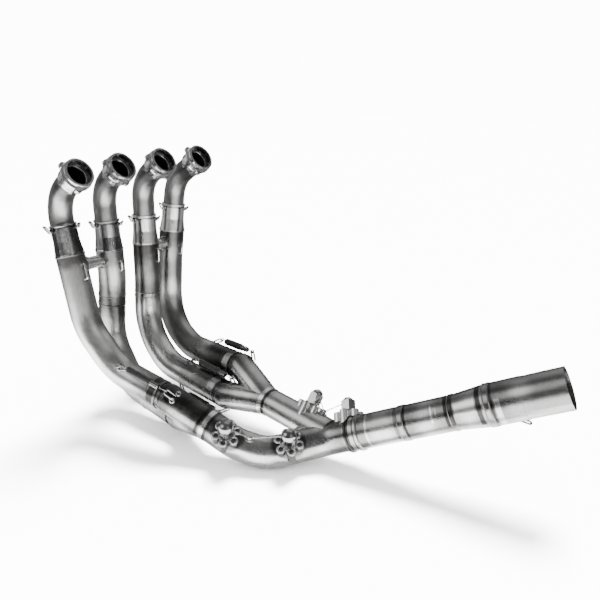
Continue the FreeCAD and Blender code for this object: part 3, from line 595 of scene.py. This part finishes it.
groupLooks = {
    # part of a node's name: its material and look; the first that fits is taken
    # the collars carry painted shade inside their mouths, through their dark spots
    "inlet_collar": ("turnedMetal", {"light": (0.5, 0.5, 0.5), "dark": (0.2, 0.2, 0.2), "rough": 0.17,
                                      "metallic": 0.986, "blotchShare": 0.2, "paintedSpots": paintedMouthShade,
                                      "paintedSpotColour": (0.03, 0.03, 0.03)}),
    "slip_sleeve_1": ("sleeveMetal1", dict(shadedSleeve, bands=sleeveBands(1))),
    "slip_sleeve_2": ("sleeveMetal2", dict(shadedSleeve, bands=sleeveBands(2))),
    "slip_sleeve_3": ("sleeveMetal3", dict(litSleeve, bands=sleeveBands(3))),
    "slip_sleeve_4": ("sleeveMetal4", dict(litSleeve, bands=sleeveBands(4))),
    "outlet_band": ("outletMetal", dict(bandLook, light=(0.36, 0.36, 0.355), bands=(
        ("tail", -0.0875, -0.0795, sideUp, (-0.022, 0.04), paintedShadeTone, 0.9),
        ("tail", -0.0735, -0.0705, sideUp, (-0.022, 0.04), paintedShadeTone, 0.85)))),
    "link_ring": ("bandMetal", bandLook),
    "tail_band": ("bandMetal", bandLook),
    "balance": ("balanceMetal", {"light": (0.78, 0.78, 0.78), "dark": (0.38, 0.38, 0.38), "rough": 0.2,
                                  "metallic": 0.975}),
    "sensor_boss_a": ("bossMetalA", shadedWalls("wallsA")),
    "sensor_boss_b": ("bossMetalB", shadedWalls("wallsB")),
    "sensor_boss": ("bossMetal", bossLook),
    "plug_cap": ("domeMetal", {"light": (0.26, 0.26, 0.26), "dark": (0.07, 0.07, 0.07), "rough": 0.22}),
    "plug": ("plugMetal", {"light": (0.5, 0.5, 0.5), "dark": (0.16, 0.16, 0.16), "rough": 0.14}),
    "wire_lug": ("plugMetal", {}),
    "hook": ("hookMetal", {"light": (0.25, 0.25, 0.25), "dark": (0.08, 0.08, 0.08), "rough": 0.22}),
    "spring_sleeves": ("sleeveRubber", {}),
    "safety_wire": ("wireMetal", {"light": (0.5, 0.5, 0.5), "dark": (0.2, 0.2, 0.2), "rough": 0.25}),
    "joint_springs": ("springMetal", {"light": (0.24, 0.24, 0.24), "dark": (0.07, 0.07, 0.07),
                                      "rough": 0.2}),
}


rubberSetup = {
    "cloud": 160.0,
    "dark": (0.0008, 0.0008, 0.0008),
    "light": (0.0025, 0.0025, 0.0025),
    "rough": (0.38, 0.6),
    "bump": 0.2,
}


def makeRubber(name):
    rubber = bpy.data.materials.new(name)
    rubber.use_nodes = True
    tree = rubber.node_tree
    shader = tree.nodes["Principled BSDF"]
    place = tree.nodes.new("ShaderNodeTexCoord").outputs["Object"]
    cloud = noiseOver(tree, place, rubberSetup["cloud"], 5)
    fade = rampBetween(tree, cloud, 0.35, 0.7)
    colour = blendColours(tree, fade, rubberSetup["dark"], rubberSetup["light"])
    tree.links.new(colour, shader.inputs["Base Color"])
    tree.links.new(rampBetween(tree, cloud, 0.3, 0.7, *rubberSetup["rough"]), shader.inputs["Roughness"])
    bump = newNode(tree, "ShaderNodeBump", Strength=rubberSetup["bump"], Distance=0.001)
    tree.links.new(cloud, bump.inputs["Height"])
    tree.links.new(bump.outputs[0], shader.inputs["Normal"])
    return rubber


def groupMaterial(nodeName):
    for part, (name, look) in groupLooks.items():
        if part in nodeName:
            if name == "sleeveRubber":
                return bpy.data.materials.get(name) or makeRubber(name)
            return bpy.data.materials.get(name) or makeMetal(name, **look)
    return None


def dress(thing, material):
    thing.data.materials.clear()
    thing.data.materials.append(material)


for nodeName, node in sorted(nodes.items()):
    if nodeName in pipeLooks:
        dress(node, makeMetal(nodeName + "Metal", **pipeLooks[nodeName]))
    else:
        dress(node, groupMaterial(nodeName))
print("CAD nodes finished:", len(bpy.data.materials), "materials")


# helpers for new pieces

def deselectAll():
    bpy.ops.object.select_all(action="DESELECT")


def onlySelect(*things):
    deselectAll()
    for thing in things:
        thing.select_set(True)
    bpy.context.view_layer.objects.active = things[0]


def applyModifiers(thing):
    onlySelect(thing)
    for modifier in list(thing.modifiers):
        bpy.ops.object.modifier_apply(modifier=modifier.name)


def placeMesh(thing, place, alongZ, sideX=None):
    # the mesh is made round the origin along Z, and then goes to its place
    up = Vector(alongZ).normalized()
    side = Vector(sideX) if sideX else up.orthogonal()
    side = (side - up * side.dot(up)).normalized()
    turn = Matrix((side, up.cross(side), up)).transposed().to_4x4()
    thing.data.transform(Matrix.Translation(place) @ turn)


def joinPieces(name, pieces):
    onlySelect(*pieces)
    if len(pieces) > 1:
        bpy.ops.object.join()
    whole = bpy.context.object
    whole.name = name
    whole.data.name = name
    return whole


# springs of closed coils with a loop at each end

springSetup = {
    "coilRadius": 0.0041,
    "wireRadius": 0.0008,
    "loopRadius": 0.0034,
    "legLength": 0.0106,
    "legOverlap": 0.001,
    "lines": {
        # first loop, last loop, away from the pipe
        "pipe_1": ((0.0679, -0.0102, -0.3004), (0.1591, -0.0004, -0.3224), (0.249, -0.579, 0.777)),
        "pipe_2": ((0.0455, 0.0951, -0.3816), (0.1388, 0.0862, -0.3926), (0.114, 0.978, 0.172)),
        "pipe_3_lower": ((0.0667, 0.1235, -0.3995), (0.1604, 0.1152, -0.4072), (-0.119, -0.648, -0.752)),
        "pipe_3_upper": ((0.0735, 0.1490, -0.3439), (0.1672, 0.1407, -0.3516), (0.094, 0.149, 0.984)),
        "pipe_4": ((0.0778, 0.2166, -0.3270), (0.1694, 0.1950, -0.3202), (0.101, 0.664, 0.741)),
    },
}


def makeHelix(name, radius, wireRadius, pitch, turns, stepsPerTurn=18, wireSides=8):
    deselectAll()
    bpy.ops.mesh.primitive_circle_add(vertices=wireSides, radius=wireRadius, location=(radius, 0, 0),
                                      rotation=(math.pi / 2, 0, 0), fill_type="NGON")
    coil = bpy.context.object
    coil.name = name
    bpy.ops.object.transform_apply(location=True, rotation=True, scale=False)
    winder = coil.modifiers.new("winder", "SCREW")
    winder.axis = "Z"
    winder.angle = 2 * math.pi * turns
    winder.screw_offset = pitch * turns
    winder.steps = int(stepsPerTurn * turns)
    winder.render_steps = winder.steps
    winder.use_merge_vertices = False
    applyModifiers(coil)
    bpy.ops.object.mode_set(mode="EDIT")
    bpy.ops.mesh.select_all(action="SELECT")
    bpy.ops.mesh.remove_doubles(threshold=0.00001)
    bpy.ops.mesh.select_all(action="DESELECT")
    bpy.ops.mesh.select_non_manifold(extend=False)
    bpy.ops.mesh.edge_face_add()
    bpy.ops.mesh.select_all(action="SELECT")
    bpy.ops.mesh.normals_make_consistent(inside=False)
    bpy.ops.object.mode_set(mode="OBJECT")
    bpy.ops.object.shade_smooth_by_angle(angle=math.radians(50))
    return coil


def makeSprings():
    setup = springSetup
    metal = groupMaterial("joint_springs")
    parts = []
    for name, (first, last, out) in setup["lines"].items():
        start, end = Vector(first), Vector(last)
        axis = (end - start).normalized()
        span = (end - start).length
        loop, leg = setup["loopRadius"], setup["legLength"]
        length = span - 2 * loop - 2 * leg
        pitch = 2.05 * setup["wireRadius"]
        coil = makeHelix("coil_" + name, setup["coilRadius"], setup["wireRadius"], pitch,
                         length / pitch, 14, 6)
        placeMesh(coil, start + axis * (loop + leg), axis, out)
        parts.append(coil)
        for place, way in ((start, 1), (end, -1)):
            deselectAll()
            bpy.ops.mesh.primitive_torus_add(major_radius=loop, minor_radius=setup["wireRadius"],
                                             major_segments=28, minor_segments=8)
            ring = bpy.context.object
            bpy.ops.object.shade_smooth()
            placeMesh(ring, place, axis.cross(Vector(out)), out)
            parts.append(ring)
            bpy.ops.mesh.primitive_cylinder_add(vertices=8, radius=setup["wireRadius"],
                                                depth=leg + setup["legOverlap"])
            stem = bpy.context.object
            bpy.ops.object.shade_smooth_by_angle(angle=math.radians(50))
            placeMesh(stem, place + axis * way * (loop + leg / 2), axis)
            parts.append(stem)
    springs = joinPieces("wound_springs", parts)
    dress(springs, metal)
    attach(springs, "root")
    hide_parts("joint_springs")


makeSprings()

curlSetup = {
    "radius": 0.0034,
    "wireRadius": 0.0013,
    "places": (
        # centre on the pipe, way off the pipe
        ((0.1716, 0.0150, -0.3300), (0.49, -0.25, 0.84)),
        ((0.1690, 0.0035, -0.3372), (0.46, -0.74, 0.49)),
        ((0.0695, -0.0046, -0.3072), (0.27, -0.53, 0.80)),
        ((0.0640, -0.0080, -0.3080), (0.27, -0.60, 0.75)),
    ),
}


def makeCurls():
    setup = curlSetup
    parts = []
    for place, way in setup["places"]:
        deselectAll()
        bpy.ops.mesh.primitive_torus_add(major_radius=setup["radius"], minor_radius=setup["wireRadius"],
                                         major_segments=36, minor_segments=10)
        curl = bpy.context.object
        bpy.ops.object.shade_smooth()
        placeMesh(curl, Vector(place) + Vector(way) * setup["wireRadius"], way)
        parts.append(curl)
    curls = joinPieces("hook_curls", parts)
    dress(curls, groupMaterial("plug"))
    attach(curls, "root")


makeCurls()
print("springs wound")


# twisted safety wires from the plugs to the lugs

safetySetup = {
    "strandRadius": 0.00055,
    "pitch": 0.0042,
    "lines": {
        "ab": ((0.2684, 0.0159, -0.3571), (0.3497, 0.0639, -0.3650), (0.2934, 0.0407, -0.3776)),
        "cd": ((0.3263, 0.1714, -0.3462), (0.3822, 0.1747, -0.3447), (0.3532, 0.1525, -0.3617)),
    },
}


def makeSafetyWires():
    for pair, (first, second, lug) in safetySetup["lines"].items():
        parts = []
        for plug in (first, second):
            start, end = Vector(plug), Vector(lug)
            way = end - start
            pitch = safetySetup["pitch"]
            radius = safetySetup["strandRadius"]
            for turned in (0, 1):
                strand = makeHelix("strand", radius, radius, pitch, way.length / pitch, 10, 6)
                side = way.orthogonal() * (1 if turned else -1)
                placeMesh(strand, start, way, side)
                parts.append(strand)
        wire = joinPieces("twisted_wire_" + pair, parts)
        dress(wire, groupMaterial("safety_wire"))
        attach(wire, "root")
        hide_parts("safety_wire_" + pair)


makeSafetyWires()
print("safety wires twisted")


# rippled weld seams

weldSetup = {
    "bead": 0.0009,
    "sink": 0.0002,
    "ripple": 0.00022,
    "segments": 84,
    "look": {"light": (0.2, 0.19, 0.185), "dark": (0.04, 0.036, 0.034), "rough": 0.35, "blotch": 120.0},
    "seams": {
        # middle of the seam, way along the pipe, radius
        "collar_1": ((-0.0235, 0.0000, -0.0152), (-0.839, 0.000, -0.545), 0.0195),
        "collar_2": ((-0.0285, 0.0880, -0.0152), (-0.839, 0.000, -0.545), 0.0195),
        "collar_3": ((-0.0265, 0.1760, -0.0152), (-0.839, 0.000, -0.545), 0.0195),
        "collar_4": ((-0.0245, 0.2640, -0.0182), (-0.839, 0.000, -0.545), 0.0195),
        "sleeve_1": ((-0.0478, 0.0000, -0.1388), (0.227, 0.000, -0.974), 0.0235),
        "sleeve_2": ((-0.0582, 0.0866, -0.1479), (0.042, -0.012, -0.999), 0.0235),
        "sleeve_3": ((-0.0641, 0.1735, -0.1534), (0.001, -0.022, -1.000), 0.0235),
        "sleeve_4": ((-0.0799, 0.2549, -0.1470), (-0.077, -0.092, -0.993), 0.0235),
        "upper_2": ((-0.0586, 0.0845, -0.2288), (-0.089, -0.053, -0.995), 0.0235),
        "upper_3": ((-0.0645, 0.1703, -0.2453), (-0.020, -0.068, -0.997), 0.0235),
        "link_front": ((0.4836, 0.1671, -0.3459), (0.882, 0.254, 0.396), 0.0260),
        "link_rear": ((0.4906, 0.1692, -0.3427), (0.882, 0.254, 0.396), 0.0260),
        "cone": ((0.5515, 0.1867, -0.3154), (0.882, 0.254, 0.396), 0.0260),
        "tail_front": ((0.5974, 0.1999, -0.2948), (0.882, 0.254, 0.396), 0.0305),
        "tail_rear": ((0.6045, 0.2019, -0.2916), (0.882, 0.254, 0.396), 0.0305),
        "band_rear": ((0.4253, 0.1504, -0.3721), (0.882, 0.254, 0.396), 0.0262),
    },
}


def makeWelds():
    setup = weldSetup
    weldMetal = makeMetal("weldMetal", **setup["look"])
    for name, (place, way, radius) in setup["seams"].items():
        deselectAll()
        bpy.ops.mesh.primitive_torus_add(major_radius=radius - setup["sink"], minor_radius=setup["bead"],
                                         major_segments=setup["segments"], minor_segments=8)
        seam = bpy.context.object
        seam.name = "weld_" + name
        for vertex in seam.data.vertices:
            turn = math.atan2(vertex.co.y, vertex.co.x) / (2 * math.pi) * setup["segments"]
            vertex.select = round(turn) % 3 == 0
        bpy.ops.object.mode_set(mode="EDIT")
        bpy.ops.mesh.select_mode(type="VERT")
        bpy.ops.transform.shrink_fatten(value=setup["ripple"])
        bpy.ops.object.mode_set(mode="OBJECT")
        bpy.ops.object.shade_smooth()
        placeMesh(seam, place, way)
        dress(seam, weldMetal)
        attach(seam, "root")


makeWelds()


# bright rims round the holes of the boss petals

petalSetup = {
    "reach": 0.0165,       # from the middle of the boss to the middle of a petal
    "count": 6,
    "rimRadius": 0.0055,
    "wireRadius": 0.0011,
    "bosses": {
        # seat, way up, way along the pipe, angle of the first petal
        "a": ((0.2612, 0.0249, -0.3728), (0.371, -0.463, 0.805), (0.928, 0.146, -0.344), 47),
        "b": ((0.3435, 0.0721, -0.3816), (0.318, -0.421, 0.849), (0.641, 0.755, 0.135), 30),
        "c": ((0.3238, 0.1604, -0.3621), (0.127, 0.562, 0.817), (0.990, -0.123, -0.069), 30),
        "d": ((0.3913, 0.1630, -0.3574), (-0.465, 0.602, 0.649), (0.882, 0.254, 0.396), 30),
    },
}


def makePetalRims():
    setup = petalSetup
    for name, (seat, up, along, phase) in setup["bosses"].items():
        parts = []
        for index in range(setup["count"]):
            turn = math.radians(phase + 360 * index / setup["count"])
            deselectAll()
            bpy.ops.mesh.primitive_torus_add(major_radius=setup["rimRadius"],
                                             minor_radius=setup["wireRadius"],
                                             major_segments=32, minor_segments=8)
            rim = bpy.context.object
            bpy.ops.object.shade_smooth()
            middle = Vector((math.cos(turn), math.sin(turn), 0)) * setup["reach"]
            rim.data.transform(Matrix.Translation(middle))
            placeMesh(rim, seat, up, along)
            parts.append(rim)
        rims = joinPieces("petal_rims_" + name, parts)
        dress(rims, groupMaterial("plug"))
        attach(rims, "root")


makePetalRims()
print("petal rims laid")


# edges of the liners inside the mouths

def makeLiners():
    for number, rim in enumerate(inletSetup["rims"], 1):
        deselectAll()
        bpy.ops.mesh.primitive_torus_add(major_radius=inletSetup["linerRadius"],
                                         minor_radius=inletSetup["linerWire"],
                                         major_segments=96, minor_segments=8)
        liner = joinPieces("liner_edge_%d" % number, [bpy.context.object])
        bpy.ops.object.shade_smooth()
        placeMesh(liner, insideMouth(rim, inletSetup["linerDepth"]), inletSetup["wayIn"])
        dress(liner, groupMaterial("balance"))
        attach(liner, "root")


makeLiners()
print("liner edges laid")


# domes of the front plugs, a little wider than their hexagons

capSetup = {
    "on": ("a", "b"),
    "radius": 0.0112,
    "height": 0.0184,      # of the middle of the dome over the seat
    "squash": 0.94,
    "cutBelow": -0.78,     # share of the radius under the middle where the dome is drawn in
    "drawnIn": 0.35,
    "flattened": 0.1,
}


def makeCaps():
    setup = capSetup
    for name in setup["on"]:
        seat, up, along = petalSetup["bosses"][name][:3]
        deselectAll()
        bpy.ops.mesh.primitive_uv_sphere_add(segments=40, ring_count=24, radius=setup["radius"])
        cap = joinPieces("plug_cap_" + name, [bpy.context.object])
        bottom = setup["cutBelow"] * setup["radius"]
        for vertex in cap.data.vertices:
            if vertex.co.z < bottom:
                below = bottom - vertex.co.z
                inward = 1 - setup["drawnIn"] * below / setup["radius"]
                vertex.co = (vertex.co.x * inward, vertex.co.y * inward,
                             bottom - below * setup["flattened"])
            vertex.co.z *= setup["squash"]
        bpy.ops.object.shade_smooth()
        placeMesh(cap, Vector(seat) + Vector(up).normalized() * setup["height"], up, along)
        dress(cap, groupMaterial("plug_cap"))
        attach(cap, "root")


makeCaps()
print("plug caps laid")


# lumpy weld seams where the balance tubes meet the pipes

saddleSetup = {
    "radius": 0.0128,
    "pipeRadius": 0.0235,
    "bead": 0.0014,
    "lumps": 11,
    "lumpSize": 0.25,
    "segments": 72,
    "lines": (
        # middle of a pipe, middle of the next one, way along the pipes
        ((-0.0437, 0.0, -0.1564), (-0.0575, 0.0864, -0.1649), (0.2, 0.0, -0.98)),
        ((-0.0641, 0.1733, -0.1594), (-0.0818, 0.2526, -0.1718), (-0.03, -0.03, -0.999)),
    ),
}


def makeSaddleWelds():
    setup = saddleSetup
    parts = []
    for first, last, along in setup["lines"]:
        span = (Vector(last) - Vector(first)).normalized()
        for centre, way in ((first, span), (last, -span)):
            deselectAll()
            bpy.ops.mesh.primitive_torus_add(major_radius=setup["radius"], minor_radius=setup["bead"],
                                             major_segments=setup["segments"], minor_segments=8)
            seam = bpy.context.object
            for vertex in seam.data.vertices:
                across = min(abs(vertex.co.y), setup["radius"])
                turn = math.atan2(vertex.co.y, vertex.co.x)
                lump = 1 + setup["lumpSize"] * math.sin(setup["lumps"] * turn)
                vertex.co.z = vertex.co.z * lump + math.sqrt(setup["pipeRadius"] ** 2 - across ** 2)
            bpy.ops.object.shade_smooth()
            placeMesh(seam, centre, way, along)
            parts.append(seam)
    saddles = joinPieces("weld_saddles", parts)
    dress(saddles, bpy.data.materials["weldMetal"])
    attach(saddles, "root")


makeSaddleWelds()
print("welds laid")


# bounds of the dressed part

lowCorner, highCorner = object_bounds()
